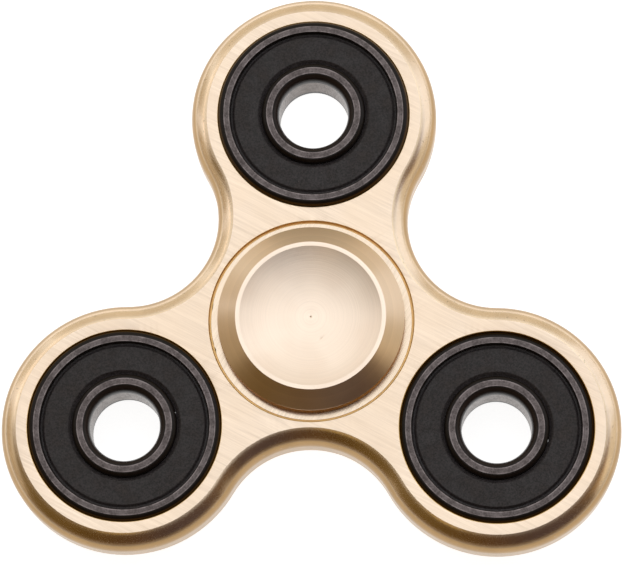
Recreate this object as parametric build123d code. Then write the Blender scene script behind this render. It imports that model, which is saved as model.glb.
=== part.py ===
from build123d import *
import math
import os

# Three-armed fidget spinner, in millimetres. Z is the spin axis and Z = 0 is the middle of the body's
# thickness, so the origin is the centre of the hub bearing. Arm 1 points along +Y, arm 2 lies 120 degrees
# anticlockwise from it and arm 3 another 120 degrees on, seen from above.
#
# A gold anodised aluminium body carries a ball bearing as a weight in each arm, and a hub ring in the middle.
# The hub ring holds a small bearing, whose inner race is clamped between two finger caps by a threaded stud.
# The fingers hold the caps still while everything outside the hub bearing's inner race spins.

# ---------------------------------------------------------------- driving dimensions
ARM_COUNT = 3
ARM_RADIUS = 24.4          # spin axis to the axis of each weight bearing
LOBE_RADIUS = 14.2         # outer radius of the body around each weight bearing
BODY_THICKNESS = 6.5
BODY_EDGE_ROUND = 1.85     # the rounded rim that runs round both faces
EDGE_BREAK = 0.1           # the small bevel on every bored edge

HUB_RING_RADIUS = 11.46    # outside of the hub ring, pressed into the body
HUB_RING_RECESS = 0.38     # depth of the hub ring's face below the body's face
HUB_RING_BEVEL = 0.08
HUB_GAP_WIDTH = 0.275      # the narrow groove round the hub ring, in both faces of the body
HUB_GAP_DEPTH = 0.65

CAP_RADIUS = 10.65
CAP_RIM_RADIUS = 8.56      # where the sloping flank meets the flat rim
CAP_DISH_RADIUS = 8.09     # where the flat rim meets the finger dish
CAP_DISH_DEPTH = 1.0
CAP_HEIGHT = 3.0           # rim above the body's face
CAP_FLANK_START = 1.35     # bottom of the flank above the body's face
CAP_LOWER_BEVEL = 0.2
CAP_CLEARANCE = 0.25       # running gap between a cap and the hub ring
CAP_BOSS_RADIUS = 3.9      # the shoulder that bears on the inner race
STEM_CLEARANCE = 0.01      # stem in the inner race, radially
STEM_END = 0.1             # each stem stops this far short of the middle

STUD_RADIUS = 1.98         # M4 stud, crest radius
STUD_HOLE_RADIUS = 2.0     # M4 tapped hole, at its major diameter
STUD_HALF_LENGTH = 4.1
STUD_HOLE_DEPTH_Z = 4.3    # height of the tapped hole's blind end
THREAD_PITCH = 0.7
THREAD_DEPTH = 0.38

# Weight bearing, size 608 with rubber seals: 8 mm bore, 22 mm outside, 7 mm wide, seven 5/32 inch balls.
WEIGHT_BORE = 4.0
WEIGHT_OUTSIDE = 11.0
WEIGHT_HALF_WIDTH = 3.5
WEIGHT_PITCH = 7.5
WEIGHT_BALL = 1.984
WEIGHT_BALL_COUNT = 7
# How far each weight bearing sits above the middle of the body: they are pressed in by hand.
WEIGHT_SEAT = {1: 0.35, 2: 0.0, 3: -0.35}

# Hub bearing, size R188 with steel shields: 1/4 inch bore, 1/2 inch outside, 3/16 inch wide, and ten
# 1/16 inch balls.
HUB_BORE = 3.175
HUB_OUTSIDE = 6.35
HUB_HALF_WIDTH = 2.381
HUB_PITCH = 4.7625
HUB_BALL = 0.794
HUB_BALL_COUNT = 10

GROOVE_CLEARANCE = 0.03    # ball to raceway
POCKET_CLEARANCE = 0.05    # ball to cage
FITTED_GAP = 0.02          # round the rim of a seal, shield or snap ring in its groove
HALF = BODY_THICKNESS / 2


# ---------------------------------------------------------------- helpers
def polar(radius, degrees):
    """A point of the XY plane, by radius and angle anticlockwise from +X."""
    turn = math.radians(degrees)
    return (radius * math.cos(turn), radius * math.sin(turn))


def turned(outline):
    """The solid that a closed outline of (radius, height) points sweeps round Z."""
    face = make_face(Plane.XZ * Polyline(*outline, close=True))
    return revolve(face, Axis.Z, 360)


def mirrored(upper):
    """A closed outline that is the same above and below Z = 0, from its upper half.

    The upper half runs from the outside wall, over the top, to the inside wall."""
    lower = [(radius, -height) for radius, height in reversed(upper)]
    return upper + lower


def arm_angle(arm):
    return 90 + (arm - 1) * 360 / ARM_COUNT


def at_arm(shape, arm):
    """A weight bearing's piece, moved from the origin to its seat in the given arm."""
    x, y = polar(ARM_RADIUS, arm_angle(arm))
    return Pos(x, y, WEIGHT_SEAT[arm]) * Rot(0, 0, arm_angle(arm)) * shape


def ball_ring(pitch, ball, count):
    """The balls of a bearing, as a list of spheres spaced evenly on the pitch circle."""
    return [Pos(*polar(pitch, index * 360 / count), 0) * Sphere(ball) for index in range(count)]


def crown_cage(inner, outer, bottom, top, pockets):
    """A one-piece cage: a ring with a pocket for each ball, open at the top so that it snaps over them."""
    cage = turned([(outer, bottom), (outer, top), (inner, top), (inner, bottom)])
    for pocket in pockets:
        cage -= pocket
    return cage


def write(name, shape):
    """One STEP file for one named piece."""
    export_step(shape, f"parts/{name}.step")


# ---------------------------------------------------------------- body and hub ring
def body_outline():
    """The face of the body seen from above: three lobes joined by hollows, all tangent arcs.

    The hollows' centres lie on the arms' circle, halfway between the arms, so that each hollow comes as close
    to the spin axis as a lobe's own radius."""
    hollow_radius = ARM_RADIUS - LOBE_RADIUS
    arcs = []
    for arm in range(1, ARM_COUNT + 1):
        angle = arm_angle(arm)
        half_step = 180 / ARM_COUNT
        lobe = Vector(*polar(ARM_RADIUS, angle))
        hollows = [Vector(*polar(ARM_RADIUS, angle + side * half_step)) for side in (-1, 1)]
        # Lobe and hollow touch on the line between their centres.
        start, end = [lobe + (hollow - lobe).normalized() * LOBE_RADIUS for hollow in hollows]
        arcs.append(ThreePointArc(start, polar(ARM_RADIUS + LOBE_RADIUS, angle), end))
        next_lobe = Vector(*polar(ARM_RADIUS, angle + 2 * half_step))
        next_start = next_lobe + (hollows[1] - next_lobe).normalized() * LOBE_RADIUS
        arcs.append(ThreePointArc(end, polar(ARM_RADIUS - hollow_radius, angle + half_step), next_start))
    return make_face(arcs)


def make_body():
    body = extrude(body_outline(), BODY_THICKNESS / 2, both=True)
    rims = [edge for edge in body.edges() if abs(abs(edge.center().Z) - HALF) < 1e-6]
    body = fillet(rims, BODY_EDGE_ROUND)
    for arm in range(1, ARM_COUNT + 1):
        pocket = turned(mirrored([
            (WEIGHT_OUTSIDE, HALF - EDGE_BREAK),
            (WEIGHT_OUTSIDE + EDGE_BREAK, HALF),
            (WEIGHT_OUTSIDE + EDGE_BREAK, HALF + 1),
            (0, HALF + 1),
        ]))
        body -= Pos(*polar(ARM_RADIUS, arm_angle(arm)), 0) * pocket
    gap_radius = HUB_RING_RADIUS + HUB_GAP_WIDTH
    body -= turned(mirrored([
        (HUB_RING_RADIUS, HALF - HUB_GAP_DEPTH),
        (gap_radius, HALF - HUB_GAP_DEPTH),
        (gap_radius, HALF + 1),
        (0, HALF + 1),
    ]))
    return body


def make_hub_ring():
    face = HALF - HUB_RING_RECESS
    return turned(mirrored([
        (HUB_RING_RADIUS, face - HUB_RING_BEVEL),
        (HUB_RING_RADIUS - HUB_RING_BEVEL, face),
        (HUB_OUTSIDE + EDGE_BREAK, face),
        (HUB_OUTSIDE, face - EDGE_BREAK),
    ]))


# ---------------------------------------------------------------- finger caps and stud
def make_cap():
    """The upper finger cap: rim, sloping flank and dish above, shoulder and hollow stem below."""
    underside = HALF - HUB_RING_RECESS + CAP_CLEARANCE
    rim = HALF + CAP_HEIGHT
    stem = HUB_BORE - STEM_CLEARANCE
    outline = [
        (STUD_HOLE_RADIUS, STEM_END),
        (stem - EDGE_BREAK, STEM_END),
        (stem, STEM_END + EDGE_BREAK),
        (stem, HUB_HALF_WIDTH),
        (CAP_BOSS_RADIUS, HUB_HALF_WIDTH),
        (CAP_BOSS_RADIUS, underside),
        (CAP_RADIUS - CAP_LOWER_BEVEL, underside),
        (CAP_RADIUS, underside + CAP_LOWER_BEVEL),
        (CAP_RADIUS, HALF + CAP_FLANK_START),
        (CAP_RIM_RADIUS, rim),
        (CAP_DISH_RADIUS, rim),
    ]
    dish_bottom = (0, rim - CAP_DISH_DEPTH)
    edges = [
        Polyline(*outline),
        RadiusArc(outline[-1], dish_bottom, dish_sphere_radius()),
        Polyline(dish_bottom, (0, STUD_HOLE_DEPTH_Z), (STUD_HOLE_RADIUS, STUD_HOLE_DEPTH_Z), outline[0]),
    ]
    face = make_face([Plane.XZ * edge for edge in edges])
    return revolve(face, Axis.Z, 360)


def dish_sphere_radius():
    """Radius of the sphere that meets the dish's edge circle and its bottom."""
    return (CAP_DISH_RADIUS**2 + CAP_DISH_DEPTH**2) / (2 * CAP_DISH_DEPTH)


def make_stud():
    """A headless M4 stud, its thread drawn as rings one pitch apart."""
    root = STUD_RADIUS - THREAD_DEPTH
    rings = int(STUD_HALF_LENGTH / THREAD_PITCH)
    outline = [(0, -STUD_HALF_LENGTH), (root, -STUD_HALF_LENGTH)]
    for index in range(-rings, rings):
        height = index * THREAD_PITCH
        outline += [(root, height), (STUD_RADIUS, height + THREAD_PITCH / 2)]
    outline += [(root, rings * THREAD_PITCH), (root, STUD_HALF_LENGTH), (0, STUD_HALF_LENGTH)]
    return turned(outline)


# ---------------------------------------------------------------- weight bearings
WEIGHT_LAND = 8.85         # outer race between its raceway and its seal seats
WEIGHT_SEAL_SEAT = 9.62    # outer race's opening round each seal
WEIGHT_SEAL_GROOVE = 9.85  # the groove that a seal's edge snaps into
WEIGHT_OUTER_BEVEL = 0.58
WEIGHT_INNER_RADIUS = 5.95
WEIGHT_BORE_BEVEL = 0.65
SEAL_BOTTOM = 2.4          # inner face of each seal
SEAL_TOP = 3.1             # outer face of each seal
SEAL_LIP_RADIUS = 6.03     # clears the inner race
WEIGHT_CAGE_INSIDE = 6.75
WEIGHT_CAGE_OUTSIDE = 8.25
WEIGHT_CAGE_BOTTOM = -2.15
WEIGHT_CAGE_TOP = 0.6


def weight_groove():
    return Torus(WEIGHT_PITCH, WEIGHT_BALL + GROOVE_CLEARANCE)


def make_weight_outer_race():
    top = WEIGHT_HALF_WIDTH
    inner_break = 0.12
    race = turned(mirrored([
        (WEIGHT_OUTSIDE, top - WEIGHT_OUTER_BEVEL),
        (WEIGHT_OUTSIDE - WEIGHT_OUTER_BEVEL, top),
        (WEIGHT_SEAL_SEAT + inner_break, top),
        (WEIGHT_SEAL_SEAT, top - inner_break),
        (WEIGHT_SEAL_SEAT, SEAL_BOTTOM + 0.5),
        (WEIGHT_SEAL_GROOVE, SEAL_BOTTOM + 0.35),
        (WEIGHT_SEAL_GROOVE, SEAL_BOTTOM),
        (WEIGHT_LAND, SEAL_BOTTOM),
    ]))
    return race - weight_groove()


def make_weight_inner_race():
    top = WEIGHT_HALF_WIDTH
    outer_break = 0.3
    race = turned(mirrored([
        (WEIGHT_INNER_RADIUS, top - outer_break),
        (WEIGHT_INNER_RADIUS - outer_break, top),
        (WEIGHT_BORE + WEIGHT_BORE_BEVEL, top),
        (WEIGHT_BORE, top - WEIGHT_BORE_BEVEL),
    ]))
    return race - weight_groove()


def make_weight_seal():
    """The upper seal: a flat rubber disc with a bead round its edge and a bevelled lip round its bore."""
    bead = WEIGHT_SEAL_SEAT - FITTED_GAP
    snap = WEIGHT_SEAL_GROOVE - FITTED_GAP
    lip_top = SEAL_TOP - 0.42
    lip_width = 0.52
    return turned([
        (SEAL_LIP_RADIUS, SEAL_BOTTOM),
        (snap, SEAL_BOTTOM),
        (snap, SEAL_BOTTOM + 0.3),
        (bead, SEAL_BOTTOM + 0.45),
        (bead, SEAL_TOP),
        (bead - 0.1, SEAL_TOP + 0.1),
        (bead - 0.2, SEAL_TOP),
        (bead - 0.25, SEAL_TOP - 0.15),
        (bead - 0.35, SEAL_TOP - 0.15),
        (bead - 0.45, SEAL_TOP),
        (SEAL_LIP_RADIUS + lip_width, SEAL_TOP),
        (SEAL_LIP_RADIUS + lip_width - 0.1, SEAL_TOP - 0.05),
        (SEAL_LIP_RADIUS + 0.1, lip_top),
        (SEAL_LIP_RADIUS, lip_top),
    ])


def write_weight_bearing(arm):
    name = f"arm_{arm}_bearing"
    seal = make_weight_seal()
    write(f"{name}_outer_race", at_arm(make_weight_outer_race(), arm))
    write(f"{name}_inner_race", at_arm(make_weight_inner_race(), arm))
    write(f"{name}_seal_top", at_arm(seal, arm))
    write(f"{name}_seal_bottom", at_arm(mirror(seal, Plane.XY), arm))
    balls = ball_ring(WEIGHT_PITCH, WEIGHT_BALL, WEIGHT_BALL_COUNT)
    write(f"{name}_balls", Compound(children=[at_arm(ball, arm) for ball in balls]))
    pockets = ball_ring(WEIGHT_PITCH, WEIGHT_BALL + POCKET_CLEARANCE, WEIGHT_BALL_COUNT)
    cage = crown_cage(WEIGHT_CAGE_INSIDE, WEIGHT_CAGE_OUTSIDE, WEIGHT_CAGE_BOTTOM, WEIGHT_CAGE_TOP, pockets)
    write(f"{name}_cage", at_arm(cage, arm))


# ---------------------------------------------------------------- hub bearing
HUB_OUTER_LAND = 5.35      # outer race beside its raceway
HUB_INNER_LAND = 4.2       # inner race beside its raceway
SHIELD_SEAT = 5.6          # outer race's opening round each shield
SHIELD_BOTTOM = 1.7
SHIELD_THICKNESS = 0.2
SNAP_GROOVE = 5.85         # the groove that holds a shield's snap ring
SNAP_GROOVE_BOTTOM = 1.9
SNAP_GROOVE_TOP = 2.2
SNAP_RING_INSIDE = 5.3
SNAP_RING_GAP = 24         # degrees left open in each snap ring
HUB_CAGE_INSIDE = 4.4
HUB_CAGE_OUTSIDE = 5.15
HUB_CAGE_BOTTOM = -1.15
HUB_CAGE_TOP = 0.35


def hub_groove():
    return Torus(HUB_PITCH, HUB_BALL + GROOVE_CLEARANCE)


def make_hub_outer_race():
    top = HUB_HALF_WIDTH
    corner = 0.2
    race = turned(mirrored([
        (HUB_OUTSIDE, top - corner),
        (HUB_OUTSIDE - corner, top),
        (SHIELD_SEAT, top),
        (SHIELD_SEAT, SNAP_GROOVE_TOP),
        (SNAP_GROOVE, SNAP_GROOVE_TOP),
        (SNAP_GROOVE, SNAP_GROOVE_BOTTOM),
        (SHIELD_SEAT, SNAP_GROOVE_BOTTOM),
        (SHIELD_SEAT, SHIELD_BOTTOM),
        (HUB_OUTER_LAND, SHIELD_BOTTOM),
    ]))
    return race - hub_groove()


def make_hub_inner_race():
    top = HUB_HALF_WIDTH
    corner = 0.15
    race = turned(mirrored([
        (HUB_INNER_LAND, top - corner),
        (HUB_INNER_LAND - corner, top),
        (HUB_BORE + corner, top),
        (HUB_BORE, top - corner),
    ]))
    return race - hub_groove()


def make_hub_shield():
    """The upper shield: a thin steel washer that clears the inner race."""
    shield_bore = HUB_INNER_LAND + 0.1
    shield_outside = SHIELD_SEAT - FITTED_GAP
    top = SHIELD_BOTTOM + SHIELD_THICKNESS
    return turned([
        (shield_bore, SHIELD_BOTTOM),
        (shield_outside, SHIELD_BOTTOM),
        (shield_outside, top),
        (shield_bore, top),
    ])


def make_snap_ring():
    """The upper snap ring: a flat open ring that holds the shield down."""
    outside = SNAP_GROOVE - FITTED_GAP
    top = SNAP_GROOVE_TOP - FITTED_GAP
    ring = turned([
        (SNAP_RING_INSIDE, SNAP_GROOVE_BOTTOM),
        (outside, SNAP_GROOVE_BOTTOM),
        (outside, top),
        (SNAP_RING_INSIDE, top),
    ])
    reach = 2 * SNAP_GROOVE
    corners = [(0, 0), polar(reach, -SNAP_RING_GAP / 2), polar(reach, SNAP_RING_GAP / 2)]
    wedge = extrude(make_face(Polyline(*corners, close=True)), HALF)
    return ring - wedge


def write_hub_bearing():
    write("hub_bearing_outer_race", make_hub_outer_race())
    write("hub_bearing_inner_race", make_hub_inner_race())
    write("hub_bearing_balls", Compound(children=ball_ring(HUB_PITCH, HUB_BALL, HUB_BALL_COUNT)))
    pockets = ball_ring(HUB_PITCH, HUB_BALL + POCKET_CLEARANCE, HUB_BALL_COUNT)
    cage = crown_cage(HUB_CAGE_INSIDE, HUB_CAGE_OUTSIDE, HUB_CAGE_BOTTOM, HUB_CAGE_TOP, pockets)
    write("hub_bearing_cage", cage)
    for kind, shape in (("shield", make_hub_shield()), ("snap_ring", make_snap_ring())):
        write(f"hub_bearing_{kind}_top", shape)
        write(f"hub_bearing_{kind}_bottom", mirror(shape, Plane.XY))


# ---------------------------------------------------------------- the whole spinner
def main():
    os.makedirs("parts", exist_ok=True)
    write("body", make_body())
    write("hub_ring", make_hub_ring())
    cap = make_cap()
    write("finger_cap_top", cap)
    write("finger_cap_bottom", mirror(cap, Plane.XY))
    write("cap_stud", make_stud())
    write_hub_bearing()
    for arm in range(1, ARM_COUNT + 1):
        write_weight_bearing(arm)


main()
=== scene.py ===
import math
import random

import bmesh
import bpy
from mathutils import Matrix, Vector
from mathutils.geometry import delaunay_2d_cdt


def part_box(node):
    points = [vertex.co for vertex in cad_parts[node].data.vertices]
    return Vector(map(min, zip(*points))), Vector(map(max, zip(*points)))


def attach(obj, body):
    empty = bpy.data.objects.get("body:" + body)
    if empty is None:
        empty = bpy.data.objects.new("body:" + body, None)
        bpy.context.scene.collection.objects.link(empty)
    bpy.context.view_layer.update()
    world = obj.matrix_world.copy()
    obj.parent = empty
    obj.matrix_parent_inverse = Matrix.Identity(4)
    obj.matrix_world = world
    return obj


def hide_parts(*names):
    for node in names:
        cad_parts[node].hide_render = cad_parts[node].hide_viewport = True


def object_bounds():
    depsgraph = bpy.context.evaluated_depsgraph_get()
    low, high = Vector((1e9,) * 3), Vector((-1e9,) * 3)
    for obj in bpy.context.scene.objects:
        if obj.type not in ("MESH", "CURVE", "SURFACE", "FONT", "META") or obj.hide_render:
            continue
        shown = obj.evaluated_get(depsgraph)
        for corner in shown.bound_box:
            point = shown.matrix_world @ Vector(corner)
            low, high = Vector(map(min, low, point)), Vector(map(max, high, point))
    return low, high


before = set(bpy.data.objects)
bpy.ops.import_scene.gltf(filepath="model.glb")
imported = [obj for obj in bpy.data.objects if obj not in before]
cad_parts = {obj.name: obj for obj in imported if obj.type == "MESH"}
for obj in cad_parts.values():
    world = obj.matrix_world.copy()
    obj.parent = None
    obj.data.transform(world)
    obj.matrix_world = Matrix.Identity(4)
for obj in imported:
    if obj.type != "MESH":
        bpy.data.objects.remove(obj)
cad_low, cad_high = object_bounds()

# The looks of a three-armed fidget spinner. Outlines are in millimetres, and MM turns them into metres.
# An outline of a turned piece is a list of (radius, height) points, with heights from the piece's middle.
MM = 0.001
ARMS = (1, 2, 3)
SEGMENTS = 192             # steps round a turned piece

# ---------------------------------------------------------------- sizes, in millimetres
# The weight bearings, with their races' lands (the plain walls beside the ball groove).
RACE_OUTSIDE = 11.0        # radius
RACE_BORE = 4.0            # radius
RACE_HALF_WIDTH = 3.5
BALL_PITCH = 7.5           # radius of the circle that the balls' centres lie on
RACEWAY_RADIUS = 2.014
OUTER_LAND = 8.85
INNER_LAND = 5.95
INNER_FLAT = (4.72, 5.44)  # radii of the inner race's ground face, between its rounded edges
OUTER_FLAT = (9.72, 10.38)
BORDER_HIGHLIGHT_INSET = 0.05         # how far inside a ground face its painted highlight lines run
BORE_EDGE_DEPTH = 1.2      # how far down the bore its rounded edge reaches
BORE_GROUND_FROM = 1.9     # the bore is ground bright up to this height
POCKET_REFLECTION_EDGE = (10.72, 10.92)  # the outer race's black edge gets a painted brown reflection of the gold pocket between these radii
WORN_EDGE = (4.75, 4.25)   # and the inner race's lighter between these, towards the bore
SEAL_LIP = 5.99            # the seal's inner radius
SEAL_SEAT = 9.62           # radius of the outer race's step that the seal lies in
SEAL_GROOVE = 9.85         # and of the groove that it snaps into
SEAL_BOTTOM = 2.4
SEAL_TOP = 3.1
SEAL_FOOT = 0.35           # height of that groove
SEAL_STEP = 0.22           # how far the seal's border lies below its top
SEAL_PLAY = 0.02

# The body, with a pocket in each arm and a groove round the hub ring.
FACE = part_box("body")[1].z / MM    # the body's upper face, above the middle
ARM_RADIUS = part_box("arm_1_bearing_outer_race")[0].y / MM + RACE_OUTSIDE   # to an arm's centre
LOBE_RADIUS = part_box("body")[1].y / MM - ARM_RADIUS
HOLLOW_RADIUS = ARM_RADIUS - LOBE_RADIUS   # of the outline's inward arcs between the arms
EDGE_ROUND = 1.85          # how far the body's rounded edge reaches in from its outline
EDGE_START = 9             # degrees of slope where the rounded edge meets the flat face
SIDE_FROM = 2.8            # the edge's gold is painted darker, as shade on the side wall, from this height down
SIDE_FULL = 2.3            # and is darkest from this height down
POCKET_RADIUS = RACE_OUTSIDE
POCKET_EDGE = (0.13, 0.22)  # how far the pockets' rounded edge reaches, outwards and down
GAP_RADIUS = 11.77         # outside of the groove round the hub ring
GAP_DEPTH = 0.50
GAP_EDGE = (0.10, 0.20)    # how far the groove's rounded edge reaches, inwards and down
HOLE_MARGIN = 0.2          # faces this close to a hole belong to its wall

RING_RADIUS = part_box("hub_ring")[1].x / MM
RING_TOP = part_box("hub_ring")[1].z / MM
RING_BORE = 6.35
RING_FACE_DEPTH = 0.1      # the brushed face's finish goes this far over the ring's corners

# The finger caps. The flank slopes up from the outer wall to the flat rim round the dish.
CAP_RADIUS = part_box("finger_cap_top")[1].x / MM
CAP_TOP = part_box("finger_cap_top")[1].z / MM
CAP_FLANK_START = 4.6
CAP_UNDERSIDE = 3.12
CAP_RIM_RADIUS = 8.56
CAP_DISH_RADIUS = 8.09
CAP_DISH_DEPTH = 1.0
CAP_DISH_SPHERE = (CAP_DISH_RADIUS**2 + CAP_DISH_DEPTH**2) / (2 * CAP_DISH_DEPTH)
CAP_DISH_BELOW = CAP_TOP - 1.2     # all of the dish lies above this
CAP_BOSS_RADIUS = 3.9
CAP_STEM_RADIUS = 3.165
CAP_STEM_TOP = 2.381
CAP_STEM_END = 0.1
STUD_HOLE_RADIUS = 2.0
STUD_HOLE_TOP = 4.3
LATHE_WAVES = ((29.0, 1.0, 0.0), (17.3, 0.6, 1.0), (43.0, 0.5, 0.0))  # radians a millimetre, height, phase
LATHE_RINGS = 0.0004       # height of the dish's rings
DEEPER_RINGS = 0.0010      # and what is added round the radius below
DEEPER_RADIUS = 6.1
DEEPER_WIDTH = 1.5
PIP_DEPTH = 0.05           # the lathe's mark in the dish's centre
PIP_RADIUS = 0.09

# ---------------------------------------------------------------- colours, linear
GOLD_FACE = (0.81, 0.655, 0.515)
GOLD_EDGE = (0.80, 0.64, 0.47)
# painted shade: the darker gold of the body's side wall
SHADED_GOLD_SIDE = (0.40, 0.26, 0.125)
# a darker, browner copy of the face's gold for the pocket walls: painted shade in the pockets
SHADED_GOLD_BORE = (0.62, 0.40, 0.14)
# a lighter copy of the face's gold for the groove and the hub ring's bore: painted light in the groove
LIT_GOLD_GROOVE = (0.97, 0.67, 0.30)
# The cap's wall under the flank gets a darker, browner gold: painted shade for the gap under the cap.
SHADED_GOLD_CAP_WALL = (0.62, 0.46, 0.26)
SHADED_GRAZED_CAP_WALL = (0.50, 0.28, 0.12)   # and a darker tint where it is seen at a grazing angle, painted shade too
GOLD_RING = (0.70, 0.565, 0.435)
GOLD_CAP = (0.72, 0.555, 0.39)
GOLD_DISH = (0.81, 0.665, 0.54)
GUNMETAL = (0.096, 0.080, 0.078)
BLACK_OXIDE = (0.010, 0.007, 0.006)
RUST = (0.075, 0.036, 0.022)
BORE_STEEL = (0.100, 0.071, 0.057)
RUBBER = (0.0182, 0.0148, 0.0168)
# the painted reflection of the gold pocket in the races' black edges
POCKET_REFLECTION_BROWN = (0.070, 0.034, 0.006)
DUST = (0.30, 0.26, 0.23)


# ---------------------------------------------------------------- outlines
def rounded(corners, steps=6):
    """The outline with these (radius, height, rounding) corners, and an arc of that radius at each.

    In half an outline, the corners at height 0 only give the others a direction, and [1:-1] drops them."""
    outline = []
    for index, (x, y, rounding) in enumerate(corners):
        corner = Vector((x, y))
        if rounding == 0:
            outline.append(corner)
            continue
        back = (Vector(corners[index - 1][:2]) - corner).normalized()
        ahead = (Vector(corners[(index + 1) % len(corners)][:2]) - corner).normalized()
        half = back.angle(ahead) / 2
        reach = rounding / math.tan(half)
        centre = corner + (back + ahead).normalized() * (rounding / math.sin(half))
        first = corner + back * reach - centre
        last = corner + ahead * reach - centre
        turn = math.atan2(last.y, last.x) - math.atan2(first.y, first.x)
        turn = (turn + math.pi) % (2 * math.pi) - math.pi
        for step in range(steps + 1):
            outline.append(centre + Matrix.Rotation(turn * step / steps, 2) @ first)
    return [(point[0], point[1]) for point in outline]


def eased_edge(radius, height, reach, depth, steps):
    """A quarter of an ellipse, from a point in a flat face to one that is further in and further down."""
    angles = [math.pi / 2 * step / steps for step in range(steps + 1)]
    return [(radius - reach * math.sin(a), height - depth * (1 - math.cos(a))) for a in angles]


def arm_direction(arm):
    """Degrees anticlockwise from +X to the arm."""
    return 90 + (arm - 1) * 120


def arm_centre(arm):
    """The middle of the arm's pocket, seen from above."""
    angle = math.radians(arm_direction(arm))
    return Vector((ARM_RADIUS * math.cos(angle), ARM_RADIUS * math.sin(angle)))


def arc(centre, radius, start, end, steps):
    """Points of an arc from one angle to another, in degrees anticlockwise from the first axis."""
    angles = [math.radians(start + (end - start) * step / steps) for step in range(steps + 1)]
    return [(centre[0] + radius * math.cos(a), centre[1] + radius * math.sin(a)) for a in angles]


def mirrored(upper):
    """A closed outline that is the same above and below its middle, from its upper half."""
    return upper + [(radius, -height) for radius, height in reversed(upper)]


# ---------------------------------------------------------------- meshes
def finished_mesh(name, mesh, materials, rule=None, crease=28):
    """An object from a bmesh in millimetres: smooth, with sharp creases.

    The rule gives the number of a face's material from its centre and normal, in millimetres."""
    bmesh.ops.recalc_face_normals(mesh, faces=mesh.faces)
    limit = math.radians(crease)
    for edge in mesh.edges:
        edge.smooth = edge.smooth and edge.is_manifold and edge.calc_face_angle() < limit
    for face in mesh.faces:
        face.smooth = True
        if rule:
            face.material_index = rule(face.calc_center_median(), face.normal)
    bmesh.ops.scale(mesh, vec=(MM, MM, MM), verts=mesh.verts)
    data = bpy.data.meshes.new(name)
    mesh.to_mesh(data)
    mesh.free()
    for each in materials:
        data.materials.append(each)
    piece = bpy.data.objects.new(name, data)
    bpy.context.scene.collection.objects.link(piece)
    weighted = piece.modifiers.new("face_weights", "WEIGHTED_NORMAL")
    weighted.keep_sharp = True
    weighted.weight = 100
    return piece


def turned(outline, closed=True, segments=SEGMENTS):
    """A bmesh that a (radius, height) outline sweeps round the Z axis."""
    mesh = bmesh.new()
    rings = []
    for radius, height in outline:
        if radius < 1e-6:
            rings.append([mesh.verts.new((0, 0, height))] * segments)
            continue
        ring = []
        for step in range(segments):
            angle = 2 * math.pi * step / segments
            ring.append(mesh.verts.new((radius * math.cos(angle), radius * math.sin(angle), height)))
        rings.append(ring)
    pairs = list(zip(rings, rings[1:] + rings[:1])) if closed else list(zip(rings, rings[1:]))
    for low, high in pairs:
        for step in range(segments):
            after = (step + 1) % segments
            corners = [low[step], low[after], high[after], high[step]]
            distinct = [vert for place, vert in enumerate(corners) if vert not in corners[:place]]
            mesh.faces.new(distinct)
    return mesh


def place(piece, centre, body, slot, node):
    """Puts a piece built about its own middle at a CAD centre, and lets it stand for its CAD node."""
    piece.location = centre
    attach(piece, body)
    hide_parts(node)
    return piece


def middle(node):
    """The middle of a CAD node's box, in metres."""
    low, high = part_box(node)
    return (low + high) / 2


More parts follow.
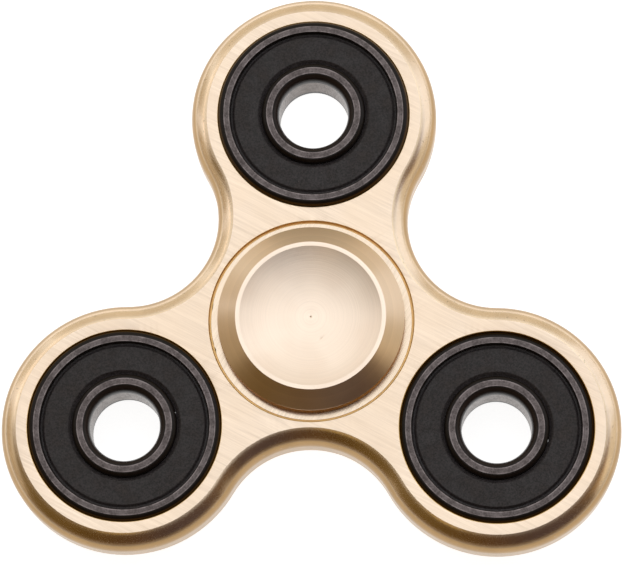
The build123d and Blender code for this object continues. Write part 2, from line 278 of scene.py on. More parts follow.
# ---------------------------------------------------------------- material building
class Recipe:
    """The node tree of a material or of the world, put together one node at a time."""

    def __init__(self, name, owners=bpy.data.materials):
        self.owner = owners.new(name)
        self.owner.use_nodes = True
        self.tree = self.owner.node_tree
        self.tree.nodes.clear()

    def add(self, kind, inputs=None, **settings):
        node = self.tree.nodes.new("ShaderNode" + kind)
        for key, value in settings.items():
            setattr(node, key, value)
        for key, value in (inputs or {}).items():
            if isinstance(value, bpy.types.NodeSocket):
                self.tree.links.new(value, node.inputs[key])
            else:
                node.inputs[key].default_value = value
        return node

    def place(self):
        """Object coordinates, in millimetres."""
        coordinates = self.add("TexCoord").outputs["Object"]
        return self.add("VectorMath", {0: coordinates, 3: 1 / MM}, operation="SCALE").outputs[0]

    def vector(self, operation, first, second):
        return self.add("VectorMath", {0: first, 1: second}, operation=operation).outputs[0]

    def math(self, operation, first, second=0.0, third=0.0):
        return self.add("Math", {0: first, 1: second, 2: third}, operation=operation).outputs[0]

    def noise(self, vector, scale, detail=2.0, roughness=0.5):
        inputs = {"Vector": vector, "Scale": scale, "Detail": detail, "Roughness": roughness}
        return self.add("TexNoise", inputs).outputs["Fac"]

    def remap(self, value, low, high, to_low, to_high):
        inputs = {"Value": value, "From Min": low, "From Max": high, "To Min": to_low, "To Max": to_high}
        return self.add("MapRange", inputs, interpolation_type="SMOOTHSTEP").outputs["Result"]

    def ramp(self, value, stops):
        """A colour that follows a list of (value, colour), with the values from -1 to 1."""
        scaled_value = self.math("MULTIPLY_ADD", value, 0.5, 0.5)
        node = self.add("ValToRGB", {0: scaled_value})
        marks = node.color_ramp.elements
        while len(marks) < len(stops):
            marks.new(0.5)
        for mark, (position, colour) in zip(marks, stops):
            mark.position = (position + 1) / 2
            mark.color = (*colour, 1)
        return node.outputs[0]

    def mix(self, amount, first, second):
        """A colour between two colours."""
        node = self.add("Mix", data_type="RGBA")
        for socket, value in ((0, amount), (6, first), (7, second)):
            if isinstance(value, bpy.types.NodeSocket):
                self.tree.links.new(value, node.inputs[socket])
            elif socket == 0:
                node.inputs[socket].default_value = value
            else:
                node.inputs[socket].default_value = (*value, 1.0)
        return node.outputs[2]

    def along(self, place, degrees, stretch):
        """Coordinates turned so that brushing at that angle runs along X, and squeezed along it."""
        turn = {"Vector": place, "Rotation": (0, 0, math.radians(-degrees))}
        turned_place = self.add("Mapping", turn, vector_type="POINT").outputs[0]
        return self.vector("MULTIPLY", turned_place, (stretch, 1, stretch))

    def rings(self, place):
        """Coordinates that change only with the distance from the Z axis and with the height."""
        flat = self.vector("MULTIPLY", place, (1, 1, 0))
        radius = self.add("VectorMath", {0: flat}, operation="LENGTH").outputs["Value"]
        height = self.add("SeparateXYZ", {0: place}).outputs[2]
        return self.add("CombineXYZ", {0: radius, 2: height}).outputs[0]

    def spokes(self, place):
        """Coordinates that change only with the direction from the Z axis."""
        flat = self.vector("MULTIPLY", place, (1, 1, 0))
        return self.add("VectorMath", {0: flat}, operation="NORMALIZE").outputs[0]

    def brushed_tangent(self, degrees):
        """The brushing's direction, which turns with the piece."""
        turn = math.radians(degrees)
        direction = self.add("CombineXYZ", {0: math.cos(turn), 1: math.sin(turn)}).outputs[0]
        inputs = {0: direction}
        return self.add("VectorTransform", inputs, vector_type="VECTOR",
                        convert_from="OBJECT", convert_to="WORLD").outputs[0]

    def bump(self, height, depth, normal=None):
        """Bump from a height of 0 to 1 that stands for a depth in millimetres."""
        inputs = {"Height": height, "Distance": depth * MM, "Strength": 1.0}
        if normal:
            inputs["Normal"] = normal
        return self.add("Bump", inputs).outputs[0]

    def surface(self, **inputs):
        """The shader, and the finished material."""
        named = {key.replace("_", " "): value for key, value in inputs.items()}
        colour = named["Base Color"]
        if isinstance(colour, tuple):
            named["Base Color"] = (*colour, 1.0)
        shader = self.add("BsdfPrincipled", named)
        output = self.add("OutputMaterial")
        self.tree.links.new(shader.outputs[0], output.inputs["Surface"])
        return self.owner


def scaled(colour, factor):
    """A lighter or darker colour."""
    return tuple(min(1.0, channel * factor) for channel in colour)


# ---------------------------------------------------------------- materials
def brushed_gold(name, colour, degrees, base_roughness=0.34):
    """Anodised aluminium whose face was brushed in one direction before it was dyed."""
    recipe = Recipe(name)
    place = recipe.place()
    fine = recipe.noise(recipe.along(place, degrees, 0.012), 15.0, 4.0, 0.7)
    broad = recipe.noise(recipe.along(place, degrees, 0.02), 3.0, 2.0, 0.6)
    scratch = recipe.noise(recipe.along(place, degrees, 0.03), 4.5, 0.0)
    patches = recipe.noise(place, 0.16, 2.0)
    streak = recipe.math("MULTIPLY_ADD", broad, 0.25, recipe.math("MULTIPLY", fine, 0.75))
    streaked = recipe.remap(streak, 0.34, 0.66, 0.0, 1.0)
    tone = recipe.mix(streaked, scaled(colour, 0.90), scaled(colour, 1.06))
    tone = recipe.mix(recipe.remap(scratch, 0.74, 0.80, 0.0, 0.25), tone, scaled(colour, 0.75))
    warm = (colour[0], colour[1] * 0.96, colour[2] * 0.90)
    tone = recipe.mix(recipe.remap(patches, 0.35, 0.7, 0.0, 0.4), tone, warm)
    rough = recipe.remap(streak, 0.3, 0.7, base_roughness + 0.05, base_roughness - 0.04)
    return recipe.surface(
        Base_Color=tone, Metallic=1.0, Roughness=rough, Anisotropic=0.55, Anisotropic_Rotation=0.25,
        Tangent=recipe.brushed_tangent(degrees), Normal=recipe.bump(streak, 0.002))


def satin_gold(name, colour, base_roughness, shaded_side_colour=None):
    """Anodised aluminium with a fine, slightly grainy finish, and if need be painted shade that darkens
    the side wall.
    """
    recipe = Recipe(name)
    place = recipe.place()
    grain = recipe.noise(place, 14.0, 3.0, 0.6)
    cloud = recipe.noise(place, 0.35, 2.0)
    height = recipe.math("ABSOLUTE", recipe.add("SeparateXYZ", {0: place}).outputs[2])
    # Painted shade: the rounded edge turns to the darker side colour towards the middle of the side wall.
    side = recipe.remap(height, SIDE_FROM, SIDE_FULL, 0.0, 1.0)
    base = recipe.mix(side, colour, shaded_side_colour or colour)
    cloudy = recipe.remap(cloud, 0.3, 0.7, 0.95, 1.04)
    tone = recipe.add("VectorMath", {0: base, 3: cloudy}, operation="SCALE").outputs[0]
    specks = recipe.remap(recipe.noise(place, 3.2, 0.0), 0.78, 0.82, 0.0, 0.5)
    tone = recipe.mix(specks, tone, scaled(colour, 0.55))
    rough = recipe.remap(grain, 0.3, 0.7, base_roughness - 0.03, base_roughness + 0.05)
    return recipe.surface(
        Base_Color=tone, Metallic=1.0, Roughness=rough, Normal=recipe.bump(grain, 0.0008))


def turned_gold(name, colour, base_roughness, groove_depth, anisotropy, grazed=(1, 1, 1)):
    """Anodised aluminium with a lathe's fine rings, which draw out the highlights.

    What is seen at a grazing angle is tinted with the grazed colour."""
    recipe = Recipe(name)
    place = recipe.place()
    ring_place = recipe.rings(place)
    fine = recipe.noise(ring_place, 9.0, 3.0, 0.7)
    broad = recipe.noise(ring_place, 1.7, 2.0, 0.6)
    groove = recipe.math("MULTIPLY_ADD", broad, 0.4, recipe.math("MULTIPLY", fine, 0.6))
    ringed = recipe.remap(groove, 0.3, 0.7, 0.0, 1.0)
    tone = recipe.mix(ringed, scaled(colour, 0.93), scaled(colour, 1.04))
    handled = recipe.noise(place, 0.3, 2.0, 0.5)
    warm = (colour[0], colour[1] * 0.95, colour[2] * 0.93)
    tone = recipe.mix(recipe.remap(handled, 0.45, 0.75, 0.0, 0.2), tone, warm)
    rough = recipe.remap(handled, 0.3, 0.7, base_roughness - 0.01, base_roughness + 0.03)
    tangent = recipe.add("Tangent", direction_type="RADIAL", axis="Z").outputs[0]
    return recipe.surface(
        Base_Color=tone, Metallic=1.0, Specular_Tint=(*grazed, 1), Roughness=rough,
        Anisotropic=anisotropy, Anisotropic_Rotation=0.25, Tangent=tangent,
        Normal=recipe.bump(groove, groove_depth))


def blackened_steel(name, colour, base_roughness):
    """Ground bearing steel that has darkened, with painted highlight lines inside its ground faces'
    borders, pits and a little rust.
    """
    recipe = Recipe(name)
    place = recipe.place()
    grain = recipe.noise(place, 5.0, 4.0, 0.7)
    patches = recipe.noise(place, 0.9, 3.0, 0.6)
    uneven = recipe.math("MULTIPLY_ADD", patches, 0.35, recipe.math("MULTIPLY", grain, 0.65))
    tarnished = recipe.remap(uneven, 0.36, 0.64, 0.0, 1.0)
    tone = recipe.mix(tarnished, scaled(colour, 0.70), scaled(colour, 1.38))
    radius = recipe.add("SeparateXYZ", {0: recipe.rings(place)}).outputs[0]
    apart = 1.0
    for inside, outside in (INNER_FLAT, OUTER_FLAT):
        for highlight_radius in (inside + BORDER_HIGHLIGHT_INSET, outside - BORDER_HIGHLIGHT_INSET):
            beside = recipe.math("ABSOLUTE", recipe.math("SUBTRACT", radius, highlight_radius))
            apart = recipe.math("MINIMUM", apart, beside)
    # Painted highlight: lighter lines just inside the borders of the ground faces, patchy along their
    # length.
    strength = recipe.remap(patches, 0.4, 0.6, 0.25, 0.85)
    border = recipe.math("MULTIPLY", recipe.remap(apart, 0.10, 0.0, 0.0, 1.0), strength)
    tone = recipe.mix(border, tone, scaled(colour, 2.4))
    pits = recipe.remap(recipe.noise(place, 3.2, 2.0, 0.6), 0.33, 0.27, 0.0, 0.7)
    tone = recipe.mix(pits, tone, scaled(colour, 0.25))
    elsewhere = recipe.vector("ADD", place, (31, 17, 0))
    rust = recipe.remap(recipe.noise(elsewhere, 1.4, 4.0, 0.7), 0.66, 0.74, 0.0, 0.7)
    tone = recipe.mix(rust, tone, RUST)
    rough = recipe.remap(uneven, 0.3, 0.7, base_roughness + 0.08, base_roughness - 0.05)
    metallic = recipe.math("SUBTRACT", 1.0, rust)
    height = recipe.math("SUBTRACT", uneven, pits)
    return recipe.surface(
        Base_Color=tone, Metallic=metallic, Roughness=rough, Normal=recipe.bump(height, 0.006))


def black_oxide(name):
    """The races' rounded edges, not ground: black, with a painted brown reflection of the gold pocket
    beside it, and lighter at the bore.
    """
    recipe = Recipe(name)
    place = recipe.place()
    mottle = recipe.noise(place, 4.0, 4.0, 0.65)
    mottled = recipe.remap(mottle, 0.35, 0.7, 0.0, 1.0)
    tone = recipe.mix(mottled, scaled(BLACK_OXIDE, 0.8), scaled(BLACK_OXIDE, 1.3))
    radius = recipe.add("SeparateXYZ", {0: recipe.rings(place)}).outputs[0]
    # Painted reflection: brown of the gold pocket on the outer edge.
    tone = recipe.mix(recipe.remap(radius, *POCKET_REFLECTION_EDGE, 0.0, 1.0), tone, POCKET_REFLECTION_BROWN)
    tone = recipe.mix(recipe.remap(radius, *WORN_EDGE, 0.0, 1.0), tone, scaled(BLACK_OXIDE, 2.6))
    return recipe.surface(
        Base_Color=tone, Roughness=0.30, Specular_IOR_Level=0.16, Normal=recipe.bump(mottle, 0.006))


def seal_rubber(name, seed):
    """Matt black rubber with moulded grain, grey scuffs and a little dust."""
    recipe = Recipe(name)
    place = recipe.vector("ADD", recipe.place(), (seed * 17.0, seed * 9.0, 0))
    grain = recipe.noise(place, 5.0, 4.0, 0.65)
    scuff = recipe.noise(place, 0.55, 4.0, 0.6)
    grainy = recipe.remap(grain, 0.35, 0.65, 0.0, 1.0)
    tone = recipe.mix(grainy, scaled(RUBBER, 0.35), scaled(RUBBER, 1.80))
    tone = recipe.mix(recipe.remap(scuff, 0.50, 0.75, 0.0, 0.05), tone, DUST)
    dust = recipe.remap(recipe.noise(place, 7.0, 0.0), 0.88, 0.91, 0.0, 0.6)
    tone = recipe.mix(dust, tone, DUST)
    rough = recipe.remap(scuff, 0.35, 0.7, 0.52, 0.66)
    return recipe.surface(
        Base_Color=tone, Roughness=rough, Specular_IOR_Level=0.42, Normal=recipe.bump(grain, 0.014))


def plain_steel(name, colour, base_roughness, marked=0.15):
    """Steel that is ground or rolled, with light brushing and dark marks as strong as the last number."""
    recipe = Recipe(name)
    place = recipe.place()
    line = recipe.noise(recipe.along(place, 20, 0.1), 8.0, 3.0, 0.6)
    lined = recipe.remap(line, 0.3, 0.7, 0.0, 1.0)
    tone = recipe.mix(lined, scaled(colour, 0.85), scaled(colour, 1.08))
    marks = recipe.remap(recipe.noise(place, 1.4, 4.0, 0.7), 0.42, 0.30, 0.0, marked)
    tone = recipe.mix(marks, tone, scaled(colour, 0.4))
    rough = recipe.remap(line, 0.3, 0.7, base_roughness + 0.05, base_roughness - 0.04)
    return recipe.surface(
        Base_Color=tone, Metallic=1.0, Roughness=rough, Normal=recipe.bump(line, 0.001))


def nylon(name, colour):
    """Cloudy plastic that lets a little light in."""
    recipe = Recipe(name)
    cloud = recipe.noise(recipe.place(), 1.2, 3.0, 0.6)
    clouded = recipe.remap(cloud, 0.3, 0.7, 0.0, 1.0)
    tone = recipe.mix(clouded, scaled(colour, 0.92), scaled(colour, 1.05))
    return recipe.surface(
        Base_Color=tone, Roughness=0.45, Subsurface_Weight=0.1, Subsurface_Radius=(MM, MM, MM),
        Normal=recipe.bump(cloud, 0.01))


# ---------------------------------------------------------------- body
def body_loop(inset, lobe_steps=72, hollow_steps=36):
    """The body's outline moved inwards: arcs round the arms, joined by arcs round the hollows between.

    Every loop has its points at the same angles, so that loops at different insets join up."""
    points = []
    for arm in ARMS:
        out = arm_direction(arm)
        hollow = -arm_centre(arm - 1)      # opposite the arm before this one, and arm 0 is arm 3
        points += arc(arm_centre(arm), LOBE_RADIUS - inset, out - 120, out + 120, lobe_steps)[:-1]
        points += arc(hollow, HOLLOW_RADIUS + inset, out - 60, out - 180, hollow_steps)[:-1]
    return points


def edge_section():
    """(inset, height) points from the flat face, over the rounded edge, to the middle of the side wall."""
    start = math.radians(EDGE_START)
    radius = EDGE_ROUND / (1 - math.sin(start))
    steps = 14
    section = []
    for step in range(steps + 1):
        angle = start + (math.pi / 2 - start) * step / steps
        fall = radius * (math.cos(start) - math.cos(angle))
        section.append((radius * (1 - math.sin(angle)), FACE - fall))
    return section


def join_loops(mesh, upper, lower):
    """Faces between two loops that have the same number of points."""
    for step in range(len(upper)):
        after = (step + 1) % len(upper)
        mesh.faces.new((upper[step], upper[after], lower[after], lower[step]))


def hole_wall(mesh, centre, outline, sign):
    """The loops of a hole's edge, from the face inwards, joined by faces."""
    loops = []
    for radius, height in outline:
        circle = arc(centre, radius, 0, 360, SEGMENTS)[:-1]
        loops.append([mesh.verts.new((x, y, sign * height)) for x, y in circle])
    for upper, lower in zip(loops, loops[1:]):
        join_loops(mesh, upper, lower)
    return loops


def fill_face(mesh, outside, rims):
    """The flat face between the body's outline and the rims of its holes."""
    verts = []
    edges = []
    loop_of = []
    for number, loop in enumerate([outside] + rims):
        first = len(verts)
        edges += [(first + step, first + (step + 1) % len(loop)) for step in range(len(loop))]
        verts += loop
        loop_of += [number] * len(loop)
    flat = [vert.co.xy for vert in verts]
    _, _, faces, origins, _, _ = delaunay_2d_cdt(flat, edges, [], 1, 1e-7)
    for face in faces:
        corners = [origins[corner][0] for corner in face]
        loops = {loop_of[corner] for corner in corners}
        # A triangle with every corner on one hole's rim lies inside that hole.
        if len(loops) > 1 or loops == {0}:
            mesh.faces.new([verts[corner] for corner in corners])


def make_body(face, edge, bore, groove):
    """The three-lobed body, with its holes and with one material each for its four kinds of face."""
    mesh = bmesh.new()
    section = edge_section()
    section += [(inset, -height) for inset, height in reversed(section)]
    loops = [[mesh.verts.new((x, y, height)) for x, y in body_loop(inset)] for inset, height in section]
    for upper, lower in zip(loops, loops[1:]):
        join_loops(mesh, upper, lower)
    pocket_edge = eased_edge(POCKET_RADIUS + POCKET_EDGE[0], FACE, *POCKET_EDGE, 8)
    gap_edge = eased_edge(GAP_RADIUS, FACE, *GAP_EDGE, 8)
    gap_floor = [(GAP_RADIUS - GAP_EDGE[0], FACE - GAP_DEPTH), (RING_RADIUS, FACE - GAP_DEPTH)]
    holes = {}
    for sign, loop in ((1, loops[0]), (-1, loops[-1])):
        walls = [hole_wall(mesh, arm_centre(arm), pocket_edge, sign) for arm in ARMS]
        walls.append(hole_wall(mesh, (0, 0), gap_edge + gap_floor, sign))
        holes[sign] = [wall[-1] for wall in walls]
        fill_face(mesh, loop, [wall[0] for wall in walls])
    for upper, lower in zip(holes[1], holes[-1]):
        join_loops(mesh, upper, lower)

    def rule(centre, normal):
        if abs(abs(centre.z) - FACE) < 1e-4:
            return 0
        if centre.xy.length < GAP_RADIUS + HOLE_MARGIN:
            return 3
        reach = POCKET_RADIUS + HOLE_MARGIN
        in_pocket = any((centre.xy - arm_centre(arm)).length < reach for arm in ARMS)
        return 2 if in_pocket else 1

    for loop in (loops[0], loops[-1]):
        for start, end in zip(loop, loop[1:] + loop[:1]):
            mesh.edges.get((start, end)).smooth = False
    return finished_mesh("machined_body", mesh, (face, edge, bore, groove), rule)


# ---------------------------------------------------------------- hub ring and caps
def make_hub_ring(face_material, bore_material):
    """The flat ring in the body's middle, which holds the hub bearing."""
    upper = rounded([
        (RING_RADIUS, 0, 0),
        (RING_RADIUS, RING_TOP, 0.02),
        (RING_BORE, RING_TOP, 0.1),
        (RING_BORE, 0, 0),
    ], 3)[1:-1]
    mesh = turned(mirrored(upper))
    nick_ring(mesh)

    def rule(centre, normal):
        return 0 if abs(centre.z) > RING_TOP - RING_FACE_DEPTH else 1

    return finished_mesh("brushed_hub_ring", mesh, (face_material, bore_material), rule)


def nick_ring(mesh):
    """Small nicks in the hub ring's upper outer edge, where a tool has slipped."""
    chance = random.Random(4)
    for _ in range(7):
        angle = math.radians(chance.uniform(165, 200))
        depth = chance.uniform(0.03, 0.10)
        width = chance.uniform(0.15, 0.35)
        spot = Vector((RING_RADIUS * math.cos(angle), RING_RADIUS * math.sin(angle), RING_TOP))
        for vert in mesh.verts:
            near = 1 - (vert.co - spot).length / width
            if near > 0 and vert.co.z > 0:
                vert.co.z -= depth * near
                vert.co.xy *= 1 - depth * near / RING_RADIUS


def dish_outline():
    """The finger dish from its edge to its centre, part of a sphere, with the lathe's fine rings."""
    steps = 170
    outline = []
    for step in range(1, steps):
        radius = (CAP_DISH_RADIUS - 0.05) * (1 - step / steps)
        rise = CAP_DISH_SPHERE - math.sqrt(CAP_DISH_SPHERE**2 - radius**2)
        strength = LATHE_RINGS + DEEPER_RINGS * math.exp(-((radius - DEEPER_RADIUS) / DEEPER_WIDTH) ** 2)
        rings = sum(height * math.sin(radius * pitch + phase) for pitch, height, phase in LATHE_WAVES)
        pip = -PIP_DEPTH * math.exp(-(radius / PIP_RADIUS) ** 2)
        outline.append((radius, CAP_TOP - CAP_DISH_DEPTH + rise + strength * rings + pip))
    outline.append((0, CAP_TOP - CAP_DISH_DEPTH - PIP_DEPTH))
    return outline


def make_cap(name, flank, rim, dish, wall, dented):
    """The upper finger cap, from its stud hole, up the outside, to the middle of its dish."""
    shoulder = rounded([
        (STUD_HOLE_RADIUS, STUD_HOLE_TOP, 0),
        (STUD_HOLE_RADIUS, CAP_STEM_END, 0.05),
        (CAP_STEM_RADIUS, CAP_STEM_END, 0.1),
        (CAP_STEM_RADIUS, CAP_STEM_TOP, 0),
        (CAP_BOSS_RADIUS, CAP_STEM_TOP, 0.05),
        (CAP_BOSS_RADIUS, CAP_UNDERSIDE, 0),
        (CAP_RADIUS, CAP_UNDERSIDE, 0.2),
        (CAP_RADIUS, CAP_FLANK_START, 0.10),
        (CAP_RIM_RADIUS, CAP_TOP, 0.07),
        (CAP_DISH_RADIUS, CAP_TOP, 0.04),
        (CAP_DISH_RADIUS - 1.0, CAP_TOP - 0.23, 0),
    ])[:-1]    # the last corner only gives the one before it a direction
    outline = [(0, STUD_HOLE_TOP)] + shoulder + dish_outline()
    mesh = turned(outline, closed=False)
    if dented:
        dent(mesh, Vector((1.2, -2.4)), degrees=50, length=0.32, width=0.09, depth=0.03)
        dent(mesh, Vector((2.9, -0.25)), degrees=35, length=0.7, width=0.05, depth=0.004)

    def rule(centre, normal):
        # The small margins share out the rounded corners among the faces beside them.
        radius = centre.xy.length
        if centre.z > CAP_DISH_BELOW and radius < CAP_DISH_RADIUS - 0.02:
            return 2
        if centre.z > CAP_TOP - 0.03 and radius < CAP_RIM_RADIUS + 0.05:
            return 1
        return 3 if centre.z < CAP_FLANK_START - 0.08 else 0

    return finished_mesh(name, mesh, (flank, rim, dish, wall), rule)


def dent(mesh, spot, degrees, length, width, depth):
    """A long narrow dent in the finger dish."""
    turn = Matrix.Rotation(math.radians(-degrees), 2)
    for vert in mesh.verts:
        if vert.co.z < CAP_DISH_BELOW or vert.co.xy.length > CAP_DISH_RADIUS:
            continue
        offset = turn @ (vert.co.xy - spot)
        vert.co.z -= depth * math.exp(-(offset.x / length) ** 2 - (offset.y / width) ** 2)


# ---------------------------------------------------------------- weight bearings
def raceway(land):
    """The ball groove's upper half, from its edge in the race's land to its deepest point."""
    side = 1 if land > BALL_PITCH else -1
    edge = math.degrees(math.acos((land - BALL_PITCH) / RACEWAY_RADIUS))
    deepest = 0 if side > 0 else 180
    return arc((BALL_PITCH, 0), RACEWAY_RADIUS, edge, deepest, 10)[:-1]


def outer_race_rule(centre, normal):
    """Ground where the race is flat, black where its outer edge is rounded."""
    return 1 if 0.1 < abs(normal.z) < 0.995 and abs(centre.z) > SEAL_BOTTOM else 0


def inner_race_rule(centre, normal):
    """Black at the edges, ground on the face, and ground bright in the bore."""
    radius = centre.xy.length
    if radius < INNER_FLAT[0]:
        return 1 if abs(centre.z) > BORE_GROUND_FROM else 2
    return 1 if radius > INNER_FLAT[1] and abs(centre.z) > SEAL_BOTTOM else 0


def make_outer_race(name, steel, oxide):
    """A weight bearing's outer race, from its outside over its upper face to the ball groove."""
    upper = rounded([
        (RACE_OUTSIDE, 0, 0),
        (RACE_OUTSIDE, RACE_HALF_WIDTH, RACE_OUTSIDE - OUTER_FLAT[1]),
        (SEAL_SEAT, RACE_HALF_WIDTH, OUTER_FLAT[0] - SEAL_SEAT),
        (SEAL_SEAT, SEAL_BOTTOM + 0.5, 0),
        (SEAL_GROOVE, SEAL_BOTTOM + SEAL_FOOT, 0),
        (SEAL_GROOVE, SEAL_BOTTOM, 0),
        (OUTER_LAND, SEAL_BOTTOM, 0.05),
        (OUTER_LAND, 0, 0),
    ])[1:-1]
    mesh = turned(mirrored(upper + raceway(OUTER_LAND)))
    return finished_mesh(name, mesh, (steel, oxide), outer_race_rule)


def make_inner_race(name, steel, oxide, bright):
    """A weight bearing's inner race, with a wide rounded edge at each end of its bore."""
    outer_edge = rounded([
        (INNER_LAND, 0, 0),
        (INNER_LAND, RACE_HALF_WIDTH, INNER_LAND - INNER_FLAT[1]),
        (RACE_BORE, RACE_HALF_WIDTH, 0),
    ])[1:-1]
    reach = INNER_FLAT[0] - RACE_BORE
    bore_edge = eased_edge(INNER_FLAT[0], RACE_HALF_WIDTH, reach, BORE_EDGE_DEPTH, 10)
    upper = outer_edge + bore_edge + [(RACE_BORE, BORE_GROUND_FROM)]
    upper_groove = raceway(INNER_LAND)
    lower_groove = [(radius, -height) for radius, height in upper_groove]
    outline = mirrored(upper) + lower_groove + list(reversed(upper_groove))
    return finished_mesh(name, turned(outline), (steel, oxide, bright), inner_race_rule)


def make_seal(name, material, side):
    """A seal, for the upper (side 1) or the lower (side -1) face of a weight bearing."""
    edge = SEAL_SEAT - SEAL_PLAY
    snap = SEAL_GROOVE - SEAL_PLAY
    outline = rounded([
        (SEAL_LIP, SEAL_BOTTOM, 0.05),
        (snap, SEAL_BOTTOM, 0.05),
        (snap, SEAL_BOTTOM + 0.3, 0.05),
        (edge, SEAL_BOTTOM + 0.45, 0),
        (edge, SEAL_TOP - SEAL_STEP, 0.04),
        (edge - 0.24, SEAL_TOP - SEAL_STEP, 0.05),
        (edge - 0.50, SEAL_TOP, 0.16),
        (SEAL_LIP + 0.45, SEAL_TOP, 0.20),
        (SEAL_LIP + 0.10, SEAL_TOP - 0.24, 0.06),
        (SEAL_LIP, SEAL_TOP - 0.28, 0.02),
    ], 4)
    mesh = turned([(radius, side * height) for radius, height in outline])
    return finished_mesh(name, mesh, (material,))


def make_weight_bearing(arm, steel, oxide, bright, rubber):
    """The visible pieces of an arm's bearing. Its balls and cage keep their CAD shape."""
    node = f"arm_{arm}_bearing"
    centre = middle(f"{node}_outer_race")
    outer = make_outer_race(f"arm_{arm}_ground_outer_race", steel, oxide)
    place(outer, centre, "rotor", "race_steel", f"{node}_outer_race")
    inner = make_inner_race(f"arm_{arm}_ground_inner_race", steel, oxide, bright)
    place(inner, centre, f"arm_{arm}_race", "race_steel", f"{node}_inner_race")
    for side, word in ((1, "top"), (-1, "bottom")):
        seal = make_seal(f"arm_{arm}_moulded_seal_{word}", rubber, side)
        place(seal, centre, "rotor", "seal_rubber", f"{node}_seal_{word}")


# ---------------------------------------------------------------- pieces that keep their CAD shape
def finish_inner_pieces():
    """Materials for the pieces sealed inside the bearings and between the caps.

    A piece gets the first finish whose word is in its name."""
    finishes = {
        "balls": plain_steel("polished_balls", (0.78, 0.79, 0.81), 0.12),
        "hub_bearing_cage": plain_steel("pressed_cage_steel", (0.55, 0.54, 0.52), 0.32),
        "cage": nylon("natural_nylon", (0.72, 0.68, 0.58)),
        "shield": plain_steel("rolled_shield_steel", (0.66, 0.66, 0.67), 0.25),
        "snap_ring": plain_steel("spring_steel", (0.45, 0.45, 0.47), 0.30),
        "race": plain_steel("ground_race_steel", (0.60, 0.61, 0.63), 0.22),
        "stud": plain_steel("zinc_plated_stud", (0.58, 0.58, 0.56), 0.30),
    }
    for name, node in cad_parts.items():
        if node.hide_render:
            continue
        finish = finishes[next(word for word in finishes if word in name)]
        node.data.materials.clear()
        node.data.materials.append(finish)


# ---------------------------------------------------------------- stage
CAMERA_PLACE = (14.48, -89.54, 422.6)      # millimetres
CAMERA_TILT = (0.2207, 0.0304, 0.0095)     # radians about X, Y and Z
CAMERA_LENS = 212.3                        # millimetres

# The floor, in metres.
FLOOR_RADIUS = 4.0
LIT_CENTRE = (0, 0.12, 0)
LIT_RADII = (0.18, 0.26)                   # fully lit within the first, hardly beyond the second
LIT_STRENGTH = (0.87, 0.97)                # in front of the object and behind it
LIT_DEPTHS = (-0.06, 0.06)                 # the places along Y with those strengths

# The room is a sphere of directions from the object: X to the right, Y to the back, Z up.
ROOM_LOW = (0.80, 0.71, 0.56)
ROOM_HIGH = (0.85, 0.84, 0.82)
ROOM_LEFT = (0.54, 0.43, 0.28)
ROOM_DIM = (0.34, 0.24, 0.13)
HIGH_PART = (0.55, 0.93)                   # heights at which ROOM_LOW gives way to ROOM_HIGH
LEFT_PART = (-0.72, -0.97)                 # places along X at which ROOM_LOW gives way to ROOM_LEFT
DIM_PART = (0.25, 0.04)                    # heights at which ROOM_FRONT gives way to ROOM_DIM
FRONT_BLEND = (0.10, -0.14)                # from behind the dark part's border to in front of it
MIDDLE_BORDER = (0.6, -0.18)               # the border's Y is the first times |X| plus the second
SIDE_BORDER = (-2.5, 1.88)
# The photographer's side of the room, from the left (-1) past the front (0) to the right (1).
ROOM_FRONT = (
    (-1.0, (0.19, 0.12, 0.032)),
    (-0.5, (0.125, 0.070, 0.014)),
    (0.0, (0.105, 0.055, 0.022)),
    (0.4, (0.078, 0.052, 0.048)),
    (0.75, (0.085, 0.056, 0.052)),
    (0.9, (0.13, 0.075, 0.035)),
    (1.0, (0.20, 0.12, 0.06)),
)

# A name, the azimuth and elevation in degrees, the distance and size in metres, and the radiance.
LIGHTS = (
    ("overhead_softbox", 83, 75.3, 0.75, (0.60, 0.60), (0.62, 0.68, 0.74)),
    ("right_softbox", 29, 28, 0.24, (0.15, 0.20), (0.40, 0.49, 0.68)),
    ("left_softbox_top", 147.5, 44, 0.25, (0.13, 0.04), (0.60, 0.51, 0.42)),
    ("left_softbox_back", 136, 24, 0.25, (0.03, 0.17), (0.40, 0.48, 0.62)),
    ("left_softbox_front", 161, 24, 0.21, (0.03, 0.17), (0.52, 0.58, 0.72)),
    ("warm_card_right", -16, 28, 0.20, (0.045, 0.09), (0.19, 0.125, 0.045)),
    ("warm_card_front", 244, 69, 0.30, (0.045, 0.045), (0.55, 0.36, 0.05)),
)


def make_floor():
    """A pale floor that glows by itself: a painted pool of light round the object, stronger behind it than
    in front, which also washes out its shadows.
    """
    recipe = Recipe("pale_floor")
    place = recipe.add("TexCoord").outputs["Object"]
    cloud = recipe.noise(place, 2.0, 2.0)
    tone = recipe.mix(cloud, (0.50, 0.50, 0.50), (0.54, 0.54, 0.54))
    away = recipe.vector("SUBTRACT", place, LIT_CENTRE)
    distance = recipe.add("VectorMath", {0: away}, operation="LENGTH").outputs["Value"]
    pool = recipe.remap(distance, *LIT_RADII, 1.0, 0.05)
    along = recipe.add("SeparateXYZ", {0: place}).outputs[1]
    # The floor's glow is a painted pool of light, not a lamp.
    lit = recipe.math("MULTIPLY", pool, recipe.remap(along, *LIT_DEPTHS, *LIT_STRENGTH))
    finish = recipe.surface(
        Base_Color=tone, Roughness=0.9, Emission_Color=(1, 1, 1, 1), Emission_Strength=lit)
    mesh = bmesh.new()
    bmesh.ops.create_circle(mesh, cap_ends=True, segments=96, radius=FLOOR_RADIUS)
    data = bpy.data.meshes.new("floor")
    mesh.to_mesh(data)
    mesh.free()
    data.materials.append(finish)
    floor = bpy.data.objects.new("floor", data)
    floor.location.z = cad_low.z
    bpy.context.scene.collection.objects.link(floor)


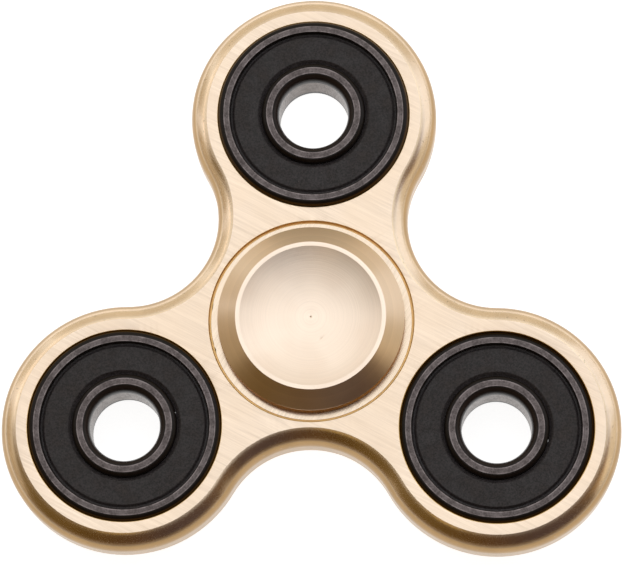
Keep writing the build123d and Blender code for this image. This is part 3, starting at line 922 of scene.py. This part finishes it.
def make_world():
    """A plain studio: pale all round, with the dark of the room on the photographer's side."""
    recipe = Recipe("studio", bpy.data.worlds)
    direction = recipe.add("TexCoord").outputs["Generated"]
    parts = recipe.add("SeparateXYZ", {0: direction}).outputs
    high = recipe.remap(parts[2], *HIGH_PART, 0.0, 1.0)
    left = recipe.remap(parts[0], *LEFT_PART, 0.0, 1.0)
    studio = recipe.mix(high, recipe.mix(left, ROOM_LOW, ROOM_LEFT), ROOM_HIGH)
    # The dark begins further forward in the middle and far to the sides than it does in between.
    sideways = recipe.math("ABSOLUTE", parts[0])
    middle_border = recipe.math("MULTIPLY_ADD", sideways, *MIDDLE_BORDER)
    side_border = recipe.math("MULTIPLY_ADD", sideways, *SIDE_BORDER)
    border = recipe.math("MINIMUM", middle_border, side_border)
    front = recipe.remap(recipe.math("SUBTRACT", parts[1], border), *FRONT_BLEND, 0.0, 1.0)
    across = recipe.add("SeparateXYZ", {0: recipe.spokes(direction)}).outputs[0]
    near_floor = recipe.remap(parts[2], *DIM_PART, 0.0, 1.0)
    room = recipe.mix(near_floor, recipe.ramp(across, ROOM_FRONT), ROOM_DIM)
    background = recipe.add("Background", {"Color": recipe.mix(front, studio, room), "Strength": 1.0})
    output = recipe.add("OutputWorld")
    recipe.tree.links.new(background.outputs[0], output.inputs["Surface"])
    bpy.context.scene.world = recipe.owner


def make_light(name, azimuth, elevation, distance, size, radiance):
    """A soft rectangular light that faces the object and is seen from it at those angles."""
    data = bpy.data.lights.new(name, "AREA")
    data.shape = "RECTANGLE"
    data.size, data.size_y = size
    brightest = max(radiance)
    data.color = [channel / brightest for channel in radiance]
    data.energy = brightest * math.pi * size[0] * size[1]
    light = bpy.data.objects.new(name, data)
    turn = math.radians(azimuth)
    rise = math.radians(elevation)
    flat = distance * math.cos(rise)
    away = Vector((flat * math.cos(turn), flat * math.sin(turn), distance * math.sin(rise)))
    light.location = away
    light.rotation_euler = (-away).to_track_quat("-Z", "Y").to_euler()
    bpy.context.scene.collection.objects.link(light)


def make_camera():
    """A long lens in front of the object and above it, tilted down at it."""
    data = bpy.data.cameras.new("camera")
    data.lens = CAMERA_LENS
    data.clip_start = 0.01
    data.clip_end = 20
    camera = bpy.data.objects.new("camera", data)
    camera.location = Vector(CAMERA_PLACE) * MM
    camera.rotation_euler = CAMERA_TILT
    bpy.context.scene.collection.objects.link(camera)
    bpy.context.scene.camera = camera


# ---------------------------------------------------------------- the whole scene
def make_rotor():
    """The body and the hub ring, with the groove between them."""
    # The groove's lighter gold is painted light in the groove and in the ring's bore.
    groove = satin_gold("lit_gold_groove", LIT_GOLD_GROOVE, 0.55)
    # The pockets' darker gold is painted shade.
    bore = satin_gold("shaded_gold_bore", SHADED_GOLD_BORE, 0.35)
    face = brushed_gold("brushed_gold_face", GOLD_FACE, -27)
    # The edge's side wall is painted darker, as shade.
    edge = satin_gold("satin_gold_edge", GOLD_EDGE, 0.23, SHADED_GOLD_SIDE)
    place(make_body(face, edge, bore, groove), (0, 0, 0), "rotor", "body_gold", "body")
    ring_face = brushed_gold("brushed_ring_face", GOLD_RING, 60, 0.21)
    place(make_hub_ring(ring_face, groove), (0, 0, 0), "rotor", "ring_gold", "hub_ring")


def make_caps():
    """Both finger caps. The lower one is the upper one mirrored, without its dents."""
    flank = turned_gold("turned_cap_flank", GOLD_CAP, 0.32, 0.0006, 0.2)
    rim = turned_gold("turned_cap_rim", GOLD_DISH, 0.30, 0.0006, 0.3)
    dish = turned_gold("turned_cap_dish", GOLD_DISH, 0.30, 0.0025, 0.6)
    # The wall's darker gold and its grazing tint are painted shade under the cap's flank.
    wall = turned_gold("shaded_turned_cap_wall", SHADED_GOLD_CAP_WALL, 0.25, 0.0006, 0.2, SHADED_GRAZED_CAP_WALL)
    top = make_cap("turned_cap_top", flank, rim, dish, wall, dented=True)
    place(top, (0, 0, 0), "hub", "cap_gold", "finger_cap_top")
    bottom = make_cap("turned_cap_bottom", flank, rim, dish, wall, dented=False)
    bottom.data.transform(Matrix.Diagonal((1, 1, -1, 1)))
    bottom.data.flip_normals()
    place(bottom, (0, 0, 0), "hub", "cap_gold", "finger_cap_bottom")


def make_weight_bearings():
    steel = blackened_steel("blackened_race_steel", GUNMETAL, 0.36)
    oxide = black_oxide("black_race_edges")
    bright = plain_steel("ground_bore_steel", BORE_STEEL, 0.28, 0.45)
    for arm in ARMS:
        rubber = seal_rubber(f"seal_rubber_{arm}", arm)
        make_weight_bearing(arm, steel, oxide, bright, rubber)


def make_studio():
    # The standard view transform keeps the lit floor white.
    bpy.context.scene.view_settings.view_transform = "Standard"
    make_floor()
    make_world()
    for light in LIGHTS:
        make_light(*light)
    make_camera()


make_rotor()
make_caps()
make_weight_bearings()
finish_inner_pieces()
make_studio()
